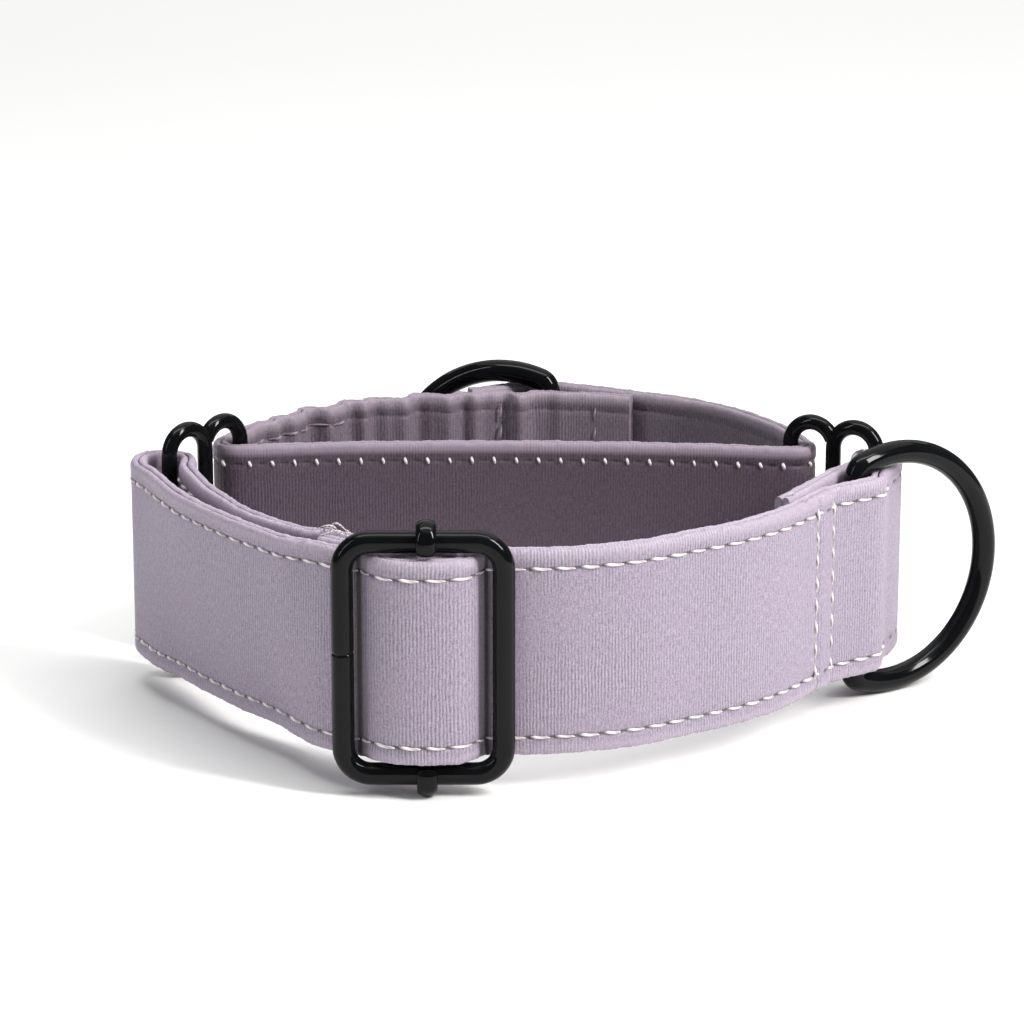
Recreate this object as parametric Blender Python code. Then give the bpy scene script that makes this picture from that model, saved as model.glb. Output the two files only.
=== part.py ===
"""A martingale dog collar: an adjustable fabric strap, two link rings and a control loop.

The strap stands on edge. X runs along the front of the collar, Y from the front to the back, Z up,
and the origin lies on the surface under the middle of the collar. Lengths below are in millimetres.
"""

import math

import bmesh
import bpy
from mathutils import Vector

MM = 0.001
PLAN_CENTRE = (10.16, 60.89)      # the routes below are drawn round the front; this point becomes X = Y = 0

# The fabric: a face, a webbing core and a lining, 3 mm in all
STRAP_WIDTH = 38.0
FACE = 0.6
CORE = 1.2
GAP = 0.3
FOLD_GAP = 0.4                  # between a wire and the lining folded round it
HALF_STRAP = FACE + GAP + CORE / 2
MIDDLE_Z = 25.42                # the height of the strap's middle above the surface
THREAD = 0.5
EDGE_MARGIN = 3.6               # from the strap's edge to its row of stitches
LEAN = 3.5                      # how far the left stretch's edges stray from upright
LEFT_DIRECTION = (-0.78, 0.62)  # the way the left stretch runs

# The metal
RING_WIRE = 4.5
RING_HEIGHT = 49.4              # outside
RING_DEPTH = 31.5               # from the bar's axis to the far end of the wire's axis
RING_CORNER = 3.0
LINK_WIRE = 3.0
LINK_PITCH = 9.0                # between a link ring's three legs
LINK_HEIGHT = 50.6
SLIDER_WIRE = 4.0
SLIDER_INNER_HEIGHT = 38.8
SLIDER_PITCH = 28.4             # between the axes of the frame's side bars
SLIDER_CORNER = 5.0
BAR_WIDTH = 3.0
BAR_THICKNESS = 1.8

# Where the metal stands, in plan
SLIDER_X, SLIDER_Y = -15.6, -2.5
BAR_X = -15.0
TAG_BAR = (64.6, 51.2)
TAG_HEADING = 33.0              # degrees from +X towards +Y, from the bar to the far end
LEASH_BAR = (7.5, 117.6)
LEASH_HEADING = 163.0
LEFT_LEG = (-65.2, 62.5)        # the legs that the strap folds round
RIGHT_LEG = (69.6, 65.0)
LEFT_HEADING = 45.6
RIGHT_HEADING = 151.6
LINK_RADIUS = LINK_WIRE / 2 + FOLD_GAP + HALF_STRAP
BAR_RADIUS = RING_WIRE / 2 + FOLD_GAP + HALF_STRAP

WIRE_SIDES = 12


def polar(centre, radius, degrees):
    angle = math.radians(degrees)
    return centre[0] + radius * math.cos(angle), centre[1] + radius * math.sin(angle)


def around(centre, radius, start, end, step=30):
    """Points of an arc in plan, from one angle to the other in degrees."""
    count = max(1, round(abs(end - start) / step))
    return [polar(centre, radius, start + (end - start) * i / count) for i in range(count + 1)]


LEFT_FOLD = (LEFT_LEG[0] - 1.1, LEFT_LEG[1] + 0.4)
LEFT_FOLD_RADIUS = 4.7
BAR_FOLD = (-13.6, 0.78)
BAR_FOLD_RADIUS = 2.87
LEFT_LOOP_LEG = polar(LEFT_LEG, 2 * LINK_PITCH, LEFT_HEADING)
RIGHT_LOOP_LEG = polar(RIGHT_LEG, 2 * LINK_PITCH, RIGHT_HEADING)

RIGHT_END = [(49.6, 34.7), (52.4, 39.2), (54.9, 43.6), (58.0, 49.2), (60.9, 54.2), (64.0, 58.2), (65.8, 61.9)]
RIGHT_OUTSIDE = [(71.7, 60.2), (69.7, 55.8)]
FRONT_RIGHT = [(63.3, 45.2), (58.3, 41.2), (53.4, 33.3), (47.8, 25.5), (41.0, 18.8), (32.8, 13.1),
               (24.0, 7.3), (15.0, 3.6), (7.0, 2.0), (0.5, 1.6), (-3.0, 1.5)]
WINDOW = [(-5.8, 0.4), (-7.5, -1.7), (-9.0, -3.6), (-11.6, -5.2), (-15.0, -5.7), (-18.4, -5.2),
          (-21.2, -3.5), (-23.4, -1.2), (-25.6, 0.8)]
FRONT_LEFT = [(-28.6, 1.9), (-33.0, 4.7), (-38.6, 10.3), (-44.2, 17.1), (-48.9, 22.7), (-53.4, 28.9),
              (-58.1, 35.9), (-63.9, 45.7), (-68.3, 54.5), (-70.6, 59.5)]
INNER_RUN = [(-61.5, 58.6), (-57.9, 49.2), (-53.1, 39.2), (-49.3, 31.8), (-45.0, 25.8), (-40.0, 20.7),
             (-33.8, 15.0), (-29.6, 11.2), (-26.4, 9.2), (-22.5, 7.2), (-18.0, 4.9)]
SHORT_END = [(-15.5, -2.1), (-17.2, -1.9), (-19.0, -1.0), (-21.0, 1.3), (-23.2, 3.6), (-26.9, 5.3),
             (-30.6, 7.6), (-33.6, 10.3)]

LOOP_INNER_END = [(24.0, 110.2), (16.0, 112.4), (7.5, 113.5), (-2.0, 113.4), (-15.0, 111.7), (-31.5, 106.2),
                  (-42.5, 97.5), (-51.0, 86.4)]
LOOP_FRONT = [(-35.0, 73.6), (0.0, 74.6), (35.0, 72.6)]
LOOP_OUTER_END = [(53.0, 86.0), (46.5, 97.0), (37.5, 106.6), (27.5, 112.6), (17.0, 117.8), (7.5, 121.7),
                  (1.0, 121.0), (-4.5, 118.2), (-8.5, 116.6)]


def strap_route():
    return (RIGHT_END + around(RIGHT_LEG, LINK_RADIUS, 180, 0) + RIGHT_OUTSIDE
            + around(TAG_BAR, BAR_RADIUS, 5, -42, 24) + FRONT_RIGHT + WINDOW + FRONT_LEFT
            + around(LEFT_FOLD, LEFT_FOLD_RADIUS, 180, 0) + INNER_RUN
            + around(BAR_FOLD, BAR_FOLD_RADIUS, 90, -90) + SHORT_END)


def loop_route():
    return (LOOP_INNER_END + around(LEFT_LOOP_LEG, LINK_RADIUS + GAP, 150, 270) + LOOP_FRONT
            + around(RIGHT_LOOP_LEG, LINK_RADIUS, -90, 30) + LOOP_OUTER_END)


def lean_at(x, y):
    """How far the top edge leans to the front. It depends on the distance along the left stretch only."""
    def ramp(start, end):
        t = min(1.0, max(0.0, (along - start) / (end - start)))
        return t * t * (3 - 2 * t)
    along = LEFT_DIRECTION[0] * x + LEFT_DIRECTION[1] * y
    return LEAN * (ramp(29.0, 42.0) - ramp(70.0, 87.0)) if x < 0 and y < 70 else 0.0


def smooth(points, step=0.2):
    """A centripetal Catmull-Rom curve through the points, sampled finely."""
    ends = [Vector(p) for p in points]
    ends = [2 * ends[0] - ends[1]] + ends + [2 * ends[-1] - ends[-2]]
    found = []
    for a, b, c, d in zip(ends, ends[1:], ends[2:], ends[3:]):
        knots = [0.0]
        for p, q in ((a, b), (b, c), (c, d)):
            knots.append(knots[-1] + math.sqrt((q - p).length))
        count = max(2, round((c - b).length / step))
        for i in range(count):
            t = knots[1] + (knots[2] - knots[1]) * i / count
            first = [p.lerp(q, (t - k) / (m - k)) for p, q, k, m in
                     ((a, b, knots[0], knots[1]), (b, c, knots[1], knots[2]), (c, d, knots[2], knots[3]))]
            second = [first[0].lerp(first[1], (t - knots[0]) / (knots[2] - knots[0])),
                      first[1].lerp(first[2], (t - knots[1]) / (knots[3] - knots[1]))]
            found.append(second[0].lerp(second[1], (t - knots[1]) / (knots[2] - knots[1])))
    return found + [ends[-2]]


def stations(points, turn=13.0, longest=7.0):
    """(point, left normal) along the smooth route, closer together where it bends."""
    curve = smooth(points)
    chosen, turned, run = [], turn, 0.0
    for i, point in enumerate(curve):
        before, after = curve[max(0, i - 1)], curve[min(len(curve) - 1, i + 1)]
        tangent = (after - before).normalized()
        normal = Vector((-tangent.y, tangent.x))
        if chosen:
            turned = math.degrees(chosen[-1][1].angle(normal))
            run = (point - chosen[-1][0]).length
        if not chosen or turned >= turn or run >= longest:
            chosen.append((point, normal))
        elif i == len(curve) - 1:
            chosen[-1] = (point, normal)
    return chosen


def material(name, colour, roughness, metallic=0.0):
    made = bpy.data.materials.new(name)
    made.use_nodes = True
    shader = made.node_tree.nodes["Principled BSDF"]
    shader.inputs["Base Color"].default_value = (*colour, 1.0)
    shader.inputs["Roughness"].default_value = roughness
    shader.inputs["Metallic"].default_value = metallic
    return made


def finished(name, bm, look, origin=(0.0, 0.0, 0.0)):
    """The object made from a mesh in millimetres, with its own material and its origin at a joint's axis."""
    shift = Vector((PLAN_CENTRE[0], PLAN_CENTRE[1], 0.0))
    place = Vector(origin)
    for vertex in bm.verts:
        vertex.co = (vertex.co - place) * MM
    bmesh.ops.recalc_face_normals(bm, faces=bm.faces)
    mesh = bpy.data.meshes.new(name)
    bm.to_mesh(mesh)
    bm.free()
    mesh.set_sharp_from_angle(angle=math.radians(40))
    mesh.materials.append(material(name + "_look", *look))
    obj = bpy.data.objects.new(name, mesh)
    obj.location = (place - shift if origin != (0.0, 0.0, 0.0) else -shift) * MM
    bpy.context.scene.collection.objects.link(obj)
    return obj


def bridge(bm, rings, closed):
    """Quads between neighbouring rings of vertices, and flat ends unless the run closes on itself."""
    pairs = list(zip(rings, rings[1:])) + ([(rings[-1], rings[0])] if closed else [])
    for a, b in pairs:
        for i in range(len(a)):
            j = (i + 1) % len(a)
            bm.faces.new((a[i], a[j], b[j], b[i]))
    if not closed:
        bm.faces.new(rings[0][::-1])
        bm.faces.new(rings[-1])


def ribbon(name, route, near, far, low, high, look):
    """A band on edge: from offset near to offset far left of the route, between two heights."""
    bm = bmesh.new()
    rings = []
    for point, normal in route:
        ring = []
        for offset, z in ((near, low), (far, low), (far, high), (near, high)):
            at = point + normal * offset
            slant = -lean_at(point.x, point.y) * (z - MIDDLE_Z) / (STRAP_WIDTH / 2)
            ring.append(bm.verts.new((at.x, at.y + slant, z)))
        rings.append(ring)
    for a, b in zip(rings, rings[1:]):
        # The upright sides are split along the same diagonal, so that twisted layers keep their gap.
        for corners in ((a[0], a[1], b[1], b[0]), (a[2], a[3], b[3], b[2]), (a[1], a[2], b[2]),
                        (a[1], b[2], b[1]), (a[3], a[0], b[3]), (a[0], b[0], b[3])):
            bm.faces.new(corners)
    bm.faces.new(rings[0][::-1])
    bm.faces.new(rings[-1])
    return finished(name, bm, look)


def wire(bm, path, radius, closed, sides=WIRE_SIDES, twist=0.0):
    """A round wire along a path that lies in one upright plane."""
    path = [Vector(p) for p in path]
    count = len(path)
    across = (path[count // 3] - path[0]).cross(path[2 * count // 3] - path[0]).normalized()
    rings = []
    for i, point in enumerate(path):
        before = path[i - 1] if closed or i else point
        after = path[(i + 1) % count] if closed or i < count - 1 else point
        tangent = (after - before).normalized()
        side = tangent.cross(across)
        angles = [twist + 2 * math.pi * k / sides for k in range(sides)]
        rings.append([bm.verts.new(point + radius * (across * math.cos(a) + side * math.sin(a)))
                      for a in angles])
    bridge(bm, rings, closed)


def upright(pivot, heading, path):
    """Places a path of (distance from the pivot, height) in the upright plane at that heading."""
    angle = math.radians(heading)
    return [(pivot[0] + t * math.cos(angle), pivot[1] + t * math.sin(angle), z) for t, z in path]


def corner(centre, radius, start, end, count):
    return [polar(centre, radius, start + (end - start) * i / count) for i in range(count + 1)]


def d_ring(name, pivot, heading, look):
    """A straight bar inside the fabric, two short arms and a half-round bow."""
    half = (RING_HEIGHT - RING_WIRE) / 2
    middle = RING_HEIGHT / 2
    bow = RING_DEPTH - half
    path = (corner((RING_CORNER, middle - half + RING_CORNER), RING_CORNER, 180, 270, 3)
            + corner((bow, middle), half, -90, 90, 18)
            + corner((RING_CORNER, middle + half - RING_CORNER), RING_CORNER, 90, 180, 3))
    bm = bmesh.new()
    wire(bm, upright(pivot, heading, path), RING_WIRE / 2, True)
    return finished(name, bm, look, (*pivot, 0.0))


def link_ring(name, pivot, heading, look):
    """Three upright legs joined in pairs by round lobes above and below."""
    lobe = LINK_PITCH / 2
    low = lobe + LINK_WIRE / 2
    high = LINK_HEIGHT - low
    near = corner((lobe, low), lobe, 180, 360, 8) + corner((lobe, high), lobe, 0, 180, 8)
    far = (corner((3 * lobe, low), lobe, 205, 360, 7) + corner((3 * lobe, high), lobe, 0, 155, 7))
    bm = bmesh.new()
    wire(bm, upright(pivot, heading, near), LINK_WIRE / 2, True)
    ring = finished(name, bm, look, (*pivot, 0.0))
    bm = bmesh.new()
    wire(bm, upright(pivot, heading, far), LINK_WIRE / 2, False, twist=math.pi / WIRE_SIDES)
    second = finished(name + "_second_half", bm, look, (*pivot, 0.0))
    second.hide_render = True
    second.display_type = "WIRE"
    union = ring.modifiers.new("second_half", "BOOLEAN")
    union.operation = "UNION"
    union.solver = "EXACT"
    union.object = second
    return ring


def slider_frame(look):
    """A rounded rectangle of wire that lies across the front of the strap."""
    half_x = SLIDER_PITCH / 2
    half_z = (SLIDER_INNER_HEIGHT + SLIDER_WIRE) / 2
    reach_x, reach_z = half_x - SLIDER_CORNER, half_z - SLIDER_CORNER
    path = []
    for sx, sz, start in ((1, 1, 0), (-1, 1, 90), (-1, -1, 180), (1, -1, 270)):
        centre = (SLIDER_X + sx * reach_x, MIDDLE_Z + sz * reach_z)
        path += [(x, SLIDER_Y, z) for x, z in corner(centre, SLIDER_CORNER, start, start + 90, 5)]
    bm = bmesh.new()
    wire(bm, path, SLIDER_WIRE / 2, True)
    return finished("slider_frame", bm, look)


def centre_bar(look):
    """A flat bar behind the frame, whose ends hook over the frame's top and bottom wires."""
    rise = (SLIDER_INNER_HEIGHT + SLIDER_WIRE) / 2
    radius = SLIDER_WIRE / 2 + GAP + BAR_THICKNESS / 2
    bend = 180 / 8
    lower = corner((SLIDER_Y, MIDDLE_Z - rise), radius, -8.5 * bend, -bend / 2, 8)
    upper = corner((SLIDER_Y, MIDDLE_Z + rise), radius, bend / 2, 8.5 * bend, 8)
    path = lower + [(SLIDER_Y + radius, MIDDLE_Z - rise), (SLIDER_Y + radius, MIDDLE_Z + rise)] + upper
    bm = bmesh.new()
    rings = []
    for i, (y, z) in enumerate(path):
        before, after = path[max(0, i - 1)], path[min(len(path) - 1, i + 1)]
        tangent = Vector((0.0, after[0] - before[0], after[1] - before[1])).normalized()
        across = Vector((0.0, tangent.z, -tangent.y)) * BAR_THICKNESS / 2
        half = Vector((BAR_WIDTH / 2, 0.0, 0.0))
        middle = Vector((BAR_X, y, z))
        rings.append([bm.verts.new(middle + a + b) for a, b in
                      ((half, across), (-half, across), (-half, -across), (half, -across))])
    bridge(bm, rings, False)
    return finished("slider_centre_bar", bm, look)


def fabric(prefix, route, looks):
    """The three layers of a band: the face outside, the webbing and the lining."""
    low, high = MIDDLE_Z - STRAP_WIDTH / 2, MIDDLE_Z + STRAP_WIDTH / 2
    ribbon(prefix + "_face", route, HALF_STRAP - FACE, HALF_STRAP, low, high, looks[0])
    ribbon(prefix + "_webbing", route, -CORE / 2, CORE / 2, low + 1.5, high - 1.5, looks[1])
    ribbon(prefix + "_lining", route, -HALF_STRAP, -HALF_STRAP + FACE, low, high, looks[2])


def stitch_rows(prefix, route, offset, look):
    """The two rows of thread along a band's edges, a gap away from its face."""
    near = math.copysign(HALF_STRAP + GAP, offset)
    far = near + math.copysign(THREAD, offset)
    rise = STRAP_WIDTH / 2 - EDGE_MARGIN
    for label, z in (("lower", MIDDLE_Z - rise), ("upper", MIDDLE_Z + rise)):
        ribbon(f"{prefix}_{label}", route, min(near, far), max(near, far), z - THREAD / 2,
               z + THREAD / 2, look)


def seam(name, route, near_point, offset, look, lift=0.0):
    """One upright row of thread across a band, at the station nearest to a point."""
    point, normal = min(route, key=lambda station: (station[0] - Vector(near_point)).length)
    along = Vector((normal.y, -normal.x)) * THREAD / 2
    low, high = MIDDLE_Z - STRAP_WIDTH / 2 + 1.0, MIDDLE_Z + STRAP_WIDTH / 2 - 1.0
    near = math.copysign(HALF_STRAP + GAP + lift, offset)
    far = near + math.copysign(THREAD, offset)
    ends = [(point - along, normal), (point + along, normal)]
    ribbon(name, ends, min(near, far), max(near, far), low, high, look)


def stretch(route, start, end):
    """The stations from the one nearest to one point to the one nearest to another."""
    nearest = [min(range(len(route)), key=lambda i: (route[i][0] - Vector(p)).length) for p in (start, end)]
    return route[nearest[0]:nearest[1] + 1]


def main():
    for obj in list(bpy.data.objects):
        bpy.data.objects.remove(obj)
    lilac, shaded, webbing = ((0.47, 0.37, 0.47), 0.6), ((0.40, 0.31, 0.39), 0.65), ((0.30, 0.25, 0.31), 0.8)
    thread, black = ((0.82, 0.78, 0.76), 0.6), ((0.012, 0.012, 0.014), 0.2, 0.6)

    strap = stations(strap_route())
    fabric("strap", strap, (lilac, webbing, shaded))
    stitch_rows("right_topstitch", stretch(strap, (63.3, 45.2), (5.0, 1.9)), 1, thread)
    stitch_rows("left_topstitch", stretch(strap, (-36.0, 7.6), (-70.6, 59.5)), 1, thread)
    seam("tag_seam_front", strap, (55.0, 36.2), 1, thread, THREAD + GAP)
    seam("tag_seam_rear", strap, (58.6, 41.5), 1, thread, THREAD + GAP)
    seam("slider_end_seam", strap, (-31.5, 12.9), 1, thread)

    loop = stations(loop_route()[::-1])
    fabric("control_loop", loop, (lilac, webbing, shaded))
    stitch_rows("loop_topstitch", stretch(loop, (46.0, 71.4), (-46.0, 72.8)), 1, thread)
    seam("leash_seam_left", loop, (-2.5, 113.4), -1, thread)
    seam("leash_seam_right", loop, (17.0, 112.2), -1, thread)

    slider_frame(black)
    centre_bar(black)
    d_ring("tag_d_ring", TAG_BAR, TAG_HEADING, black)
    d_ring("leash_d_ring", LEASH_BAR, LEASH_HEADING, black)
    link_ring("left_link_ring", LEFT_LEG, LEFT_HEADING, black)
    link_ring("right_link_ring", RIGHT_LEG, RIGHT_HEADING, black)


main()
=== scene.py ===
"""The looks of the martingale collar: ribbed lilac satin, off-white thread and glossy black wire."""

import math

import bpy
import numpy as np
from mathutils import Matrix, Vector


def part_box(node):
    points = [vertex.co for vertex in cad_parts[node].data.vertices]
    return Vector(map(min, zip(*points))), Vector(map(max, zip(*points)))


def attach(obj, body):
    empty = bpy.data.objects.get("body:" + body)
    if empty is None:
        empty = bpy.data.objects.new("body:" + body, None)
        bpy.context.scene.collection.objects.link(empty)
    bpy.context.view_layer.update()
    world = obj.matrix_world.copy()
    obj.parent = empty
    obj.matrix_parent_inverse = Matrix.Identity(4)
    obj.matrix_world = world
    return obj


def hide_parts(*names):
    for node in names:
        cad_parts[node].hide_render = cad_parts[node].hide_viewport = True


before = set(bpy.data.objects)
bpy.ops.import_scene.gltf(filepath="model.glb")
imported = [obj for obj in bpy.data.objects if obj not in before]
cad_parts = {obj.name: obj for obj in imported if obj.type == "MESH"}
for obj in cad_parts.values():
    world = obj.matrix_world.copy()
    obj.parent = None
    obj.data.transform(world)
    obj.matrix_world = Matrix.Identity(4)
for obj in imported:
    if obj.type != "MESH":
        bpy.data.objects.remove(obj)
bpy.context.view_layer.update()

# The collar's own dimensions, in millimetres. PLAN_CENTRE is the point of the plan that lies over the origin,
# and every place in plan below is measured in the same plan.
MM = 0.001
PLAN_CENTRE = np.array((10.16, 60.89))
STRAP_LOW = 1000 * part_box("strap_face")[0].z
STRAP_HIGH = 1000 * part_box("strap_face")[1].z
STRAP_WIDTH = STRAP_HIGH - STRAP_LOW
HALF_STRAP = 1.5
STITCH_PITCH = 4.3
STITCH_MARGIN = 3.4
STITCH_LENGTH = 2.9
STITCH_SINK = 0.06
SEAM_STITCH_LENGTH = 2.7
TICK_WIDTH, TICK_LENGTH = 1.1, 0.42  # a small upright stitch, against the width and length of a long one
RIB_PITCH = 0.6
RING_WIRE = 4.5
RING_HEIGHT = 49.4
RING_DEPTH = 31.5
RING_BEND = 2.6
LINK_WIRE = 3.0
LINK_PITCH = 9.0
LINK_HEIGHT = 50.6
SLIDER_WIRE = 4.0
SLIDER_INNER_HEIGHT = 38.8
SLIDER_PITCH = 28.4
SLIDER_BEND = 5.0
SLIDER_RISE = (SLIDER_INNER_HEIGHT + SLIDER_WIRE) / 2
HOOK_RADIUS = SLIDER_WIRE / 2 + 1.15
BAR_THICKNESS = 1.8
BAR_FLATNESS = 2.0  # how many times as wide as thick the centre bar is
MIDDLE_Z = (STRAP_LOW + STRAP_HIGH) / 2

SLIDER_X, SLIDER_Y = -15.6, -2.5
BAR_X = -15.0
TAG_BAR, TAG_HEADING = (64.6, 51.2), 33.0
LEASH_BAR, LEASH_HEADING = (7.5, 117.6), 163.0
LEFT_LEG, LEFT_HEADING = (-65.2, 62.5), 45.6
RIGHT_LEG, RIGHT_HEADING = (69.6, 65.0), 151.6


def polar(centre, radius, degrees):
    angle = math.radians(degrees)
    return centre[0] + radius * math.cos(angle), centre[1] + radius * math.sin(angle)


def around(centre, radius, start, end, step=30):
    """Points of an arc in plan, from one angle to the other in degrees."""
    count = max(1, round(abs(end - start) / step))
    return [polar(centre, radius, start + (end - start) * i / count) for i in range(count + 1)]


LEFT_LOOP_LEG = polar(LEFT_LEG, 2 * LINK_PITCH, LEFT_HEADING)
RIGHT_LOOP_LEG = polar(RIGHT_LEG, 2 * LINK_PITCH, RIGHT_HEADING)
FOLD_GAP = 0.4
LINK_FOLD = LINK_WIRE / 2 + FOLD_GAP + HALF_STRAP
LOOP_LEFT_FOLD = LINK_FOLD + 0.3
BAR_FOLD = RING_WIRE / 2 + FOLD_GAP + HALF_STRAP
LEFT_FOLD_CENTRE, LEFT_FOLD = (LEFT_LEG[0] - 1.1, LEFT_LEG[1] + 0.4), 4.7

# The fabric's routes in plan, from the strap's sewn right end to its short end on the slider's bar
STRAP_ROUTE = (
    [(49.6, 34.7), (52.4, 39.2), (54.9, 43.6), (58.0, 49.2), (60.9, 54.2), (64.0, 58.2), (65.8, 61.9)]
    + around(RIGHT_LEG, LINK_FOLD, 180, 0) + [(71.7, 60.2), (69.7, 55.8)]
    + around(TAG_BAR, BAR_FOLD, 5, -42, 24)
    + [(63.3, 45.2), (58.3, 41.2), (53.4, 33.3), (47.8, 25.5), (41.0, 18.8), (32.8, 13.1), (24.0, 7.3),
       (15.0, 3.6), (7.0, 2.0), (0.5, 1.6), (-3.0, 1.5)]
    + [(-5.6, 0.8), (-6.9, -1.2), (-8.0, -3.2), (-9.9, -4.8), (-12.6, -5.5), (-15.4, -5.7), (-18.4, -5.5),
       (-21.2, -4.6), (-23.3, -2.9), (-24.6, -1.0), (-26.1, 0.8)]
    + [(-28.6, 1.9), (-33.0, 4.7), (-38.6, 10.3), (-44.2, 17.1), (-48.9, 22.7), (-53.4, 28.9), (-58.1, 35.9),
       (-63.9, 45.7), (-68.3, 54.5), (-70.6, 59.5)]
    + around(LEFT_FOLD_CENTRE, LEFT_FOLD, 180, 0)
    + [(-61.5, 58.6), (-57.9, 49.2), (-53.1, 39.2), (-49.3, 31.8), (-45.0, 25.8), (-40.0, 20.7),
       (-33.8, 15.0), (-29.6, 11.2), (-26.4, 9.2), (-22.5, 7.2), (-18.0, 4.9)]
    + around((-13.6, 0.78), 2.87, 90, -90)
    + [(-15.5, -2.1), (-17.2, -1.9), (-19.0, -1.0), (-21.0, 1.3), (-23.2, 3.6), (-26.9, 5.3), (-30.6, 7.6),
       (-33.6, 10.3)])
LOOP_ROUTE = (
    [(-8.5, 116.6), (-4.5, 118.2), (1.0, 121.0), (7.5, 121.7), (17.0, 117.8), (27.5, 112.6), (37.5, 106.6),
     (46.5, 97.0), (53.0, 86.0)]
    + around(RIGHT_LOOP_LEG, LINK_FOLD, 30, -90) + [(35.0, 72.6), (0.0, 74.6), (-35.0, 73.6)]
    + around(LEFT_LOOP_LEG, LOOP_LEFT_FOLD, 270, 150)
    + [(-51.0, 86.4), (-42.5, 97.5), (-31.5, 106.2), (-15.0, 111.7), (-2.0, 113.4), (7.5, 113.5),
       (16.0, 112.4), (24.0, 110.2)])
LEFT_DIRECTION = (-0.78, 0.62)
LEAN = 3.5
SQUEEZE = 0.5  # how much narrower the fabric is where the slider's frame presses it
SQUEEZE_MIDDLE = 17.0  # the height above MIDDLE_Z that stays where it is there


def ramp(value, start, end):
    """0 before start, 1 after end, and smooth between them. Works on arrays."""
    t = np.clip((value - start) / (end - start), 0.0, 1.0)
    return t * t * (3 - 2 * t)


def lean_at(x, y):
    """How far the strap's top edge leans to the front along its left stretch."""
    along = LEFT_DIRECTION[0] * x + LEFT_DIRECTION[1] * y
    return LEAN * (ramp(along, 29.0, 42.0) - ramp(along, 70.0, 87.0)) * ((x < 0) & (y < 70))


class Route:
    """A smooth curve in plan, sampled evenly: points, left normals and distance along it."""

    def __init__(self, points, spacing):
        fine = self.smooth(np.array(points, float))
        lengths = np.concatenate([[0.0], np.cumsum(np.linalg.norm(np.diff(fine, axis=0), axis=1))])
        self.length = lengths[-1]
        self.s = np.linspace(0.0, self.length, int(self.length / spacing) + 1)
        self.point = np.stack([np.interp(self.s, lengths, fine[:, i]) for i in (0, 1)], 1)
        tangent = np.gradient(self.point, axis=0)
        tangent /= np.linalg.norm(tangent, axis=1, keepdims=True)
        self.normal = np.stack([-tangent[:, 1], tangent[:, 0]], 1)

    @staticmethod
    def smooth(points, count=24):
        """A centripetal Catmull-Rom curve through the points."""
        p = np.vstack([2 * points[0] - points[1], points, 2 * points[-1] - points[-2]])
        found = []
        for a, b, c, d in zip(p, p[1:], p[2:], p[3:]):
            steps = [np.linalg.norm(v) ** 0.5 for v in (b - a, c - b, d - c)]
            k = np.concatenate([[0.0], np.cumsum(steps)])
            t = np.linspace(k[1], k[2], count, endpoint=False)[:, None]
            first = [(u * (m - t) + v * (t - n)) / (m - n) for u, v, n, m in
                     ((a, b, k[0], k[1]), (b, c, k[1], k[2]), (c, d, k[2], k[3]))]
            low = (first[0] * (k[2] - t) + first[1] * (t - k[0])) / (k[2] - k[0])
            high = (first[1] * (k[3] - t) + first[2] * (t - k[1])) / (k[3] - k[1])
            found.append((low * (k[2] - t) + high * (t - k[1])) / (k[2] - k[1]))
        return np.vstack(found + [points[-1:]])

    @staticmethod
    def fitted(points):
        """A smooth curve fitted to three or more points in space, a cubic at most."""
        p = np.array(points, float)
        t = np.linspace(0, 1, len(p))
        fit = [np.polyfit(t, p[:, i], min(3, len(p) - 1)) for i in range(3)]
        fine = np.linspace(0, 1, 4 * len(p) - 3)
        return np.stack([np.polyval(f, fine) for f in fit], 1)

    def at(self, x, y):
        """The distance along the route of its point nearest to a place in plan."""
        return self.s[np.argmin(np.linalg.norm(self.point - np.array((x, y)), axis=1))]

    def place(self, s, offset, z):
        """Points in the shared frame, in metres, from distance, offset to the left and height, all arrays."""
        x = np.interp(s, self.s, self.point[:, 0])
        y = np.interp(s, self.s, self.point[:, 1])
        nx = np.interp(s, self.s, self.normal[:, 0])
        ny = np.interp(s, self.s, self.normal[:, 1])
        slant = -lean_at(x, y) * (z - MIDDLE_Z) / (STRAP_WIDTH / 2)
        pressed = ramp(-y, -1.0, 4.0) * (x < 2)
        z = z - SQUEEZE * pressed * (z - MIDDLE_Z - SQUEEZE_MIDDLE) / STRAP_WIDTH
        x, y = x + nx * offset - PLAN_CENTRE[0], y + ny * offset + slant - PLAN_CENTRE[1]
        return np.stack([x, y, z], -1) * MM


def wander(s, seed, lengths=(3.1, 7.3, 17.0), sizes=(0.35, 0.5, 1.0)):
    """A smooth, seeded, wandering value of about -1 to 1 along a distance."""
    phase = np.random.default_rng(seed).uniform(0, 2 * math.pi, len(lengths))
    return sum(a * np.sin(2 * math.pi * s / w + p) for a, w, p in zip(sizes, lengths, phase)) / sum(sizes)


# Materials

def node_tree(material):
    material.use_nodes = True
    tree = material.node_tree
    tree.nodes.clear()
    return tree


def add(tree, kind, **settings):
    made = tree.nodes.new(kind)
    for name, value in settings.items():
        setattr(made, name, value)
    return made


def math_node(tree, operation, a, b=None, c=None, clamp=False):
    made = add(tree, "ShaderNodeMath", operation=operation, use_clamp=clamp)
    for socket, value in zip(made.inputs, (a, b, c)):
        if value is None:
            continue
        if isinstance(value, (int, float)):
            socket.default_value = value
        else:
            tree.links.new(value, socket)
    return made.outputs[0]


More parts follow.
